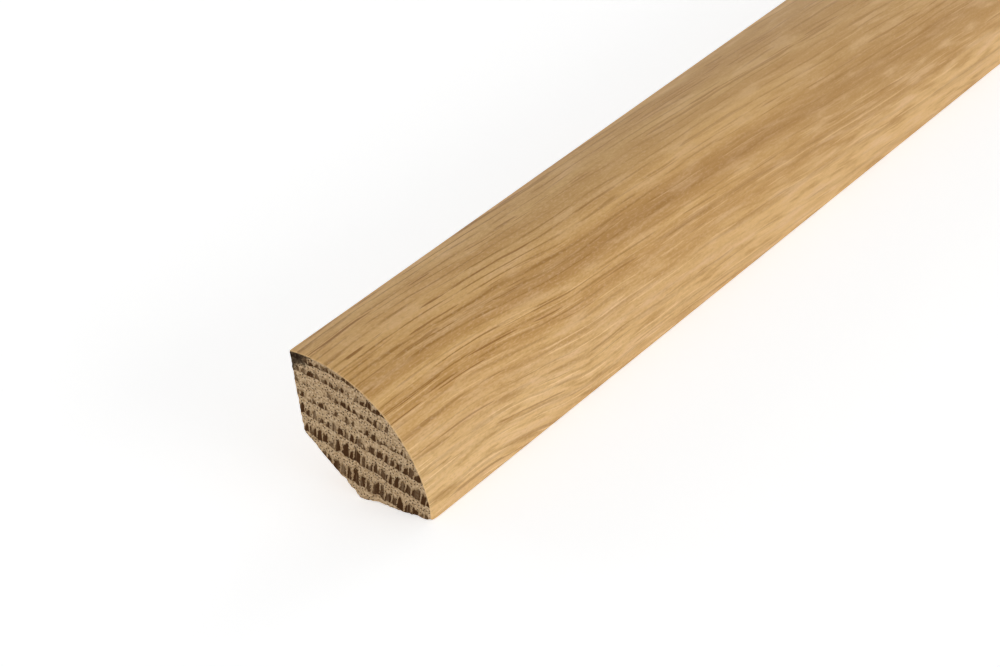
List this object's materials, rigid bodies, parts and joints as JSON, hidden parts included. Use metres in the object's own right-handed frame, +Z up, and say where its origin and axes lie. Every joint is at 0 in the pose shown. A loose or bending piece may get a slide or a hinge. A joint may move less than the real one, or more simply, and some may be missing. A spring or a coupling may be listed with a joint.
{
  "type": "quarter round moulding",
  "caption": "Solid oak quarter round moulding with a quarter-circle face, flat back and foot and a relieved back corner, for covering the joint of floor and wall.",
  "frame": {"origin": "at mid-length, on the plane of the foot, under the middle of the section's width", "axes": "+X along the length, +Y towards the wall that the back stands against, +Z up from the floor that the foot rests on"},
  "size_m": [1, 0.019, 0.019],
  "materials": {
    "oak": "satin"
  },
  "bodies": {
    "root": {"quarter_round": "oak"}
  },
  "joints": []
}
